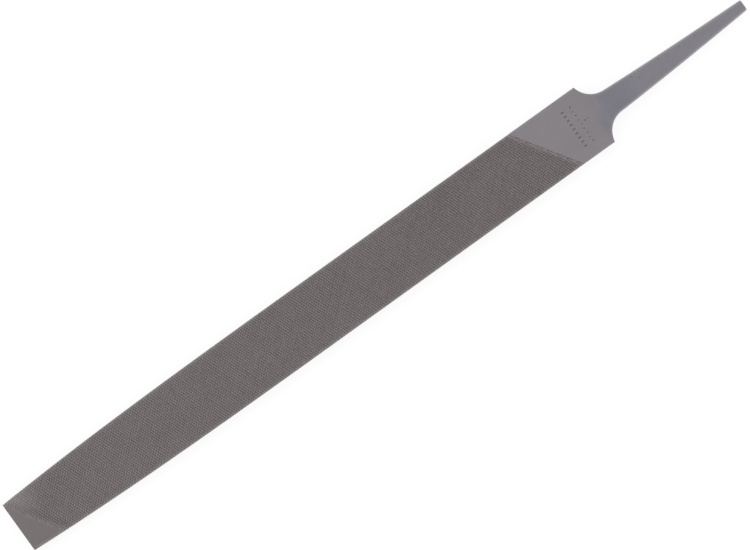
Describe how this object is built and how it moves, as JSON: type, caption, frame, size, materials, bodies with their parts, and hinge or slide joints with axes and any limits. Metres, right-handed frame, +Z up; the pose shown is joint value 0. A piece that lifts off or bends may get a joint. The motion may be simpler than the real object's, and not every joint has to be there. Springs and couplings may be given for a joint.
{
  "type": "flat file",
  "caption": "Double-cut flat hand file for metal: a bellied rectangular blade with a plain heel, concave shoulders and a bare tapered tang.",
  "frame": {"origin": "centre of the outer box, at the height of the broad face that the file lies on", "axes": "+X along the file from its tip to the end of its tang, +Y across its width, +Z up through its thickness"},
  "size_m": [0.2528, 0.0196, 0.005],
  "materials": {
    "tool_steel": "bare hardened steel, satin, grey, with a fine chisel-cut tooth pattern on the blade and a smooth heel and tang"
  },
  "bodies": {
    "root": {"file_body": "tool_steel"}
  },
  "joints": []
}
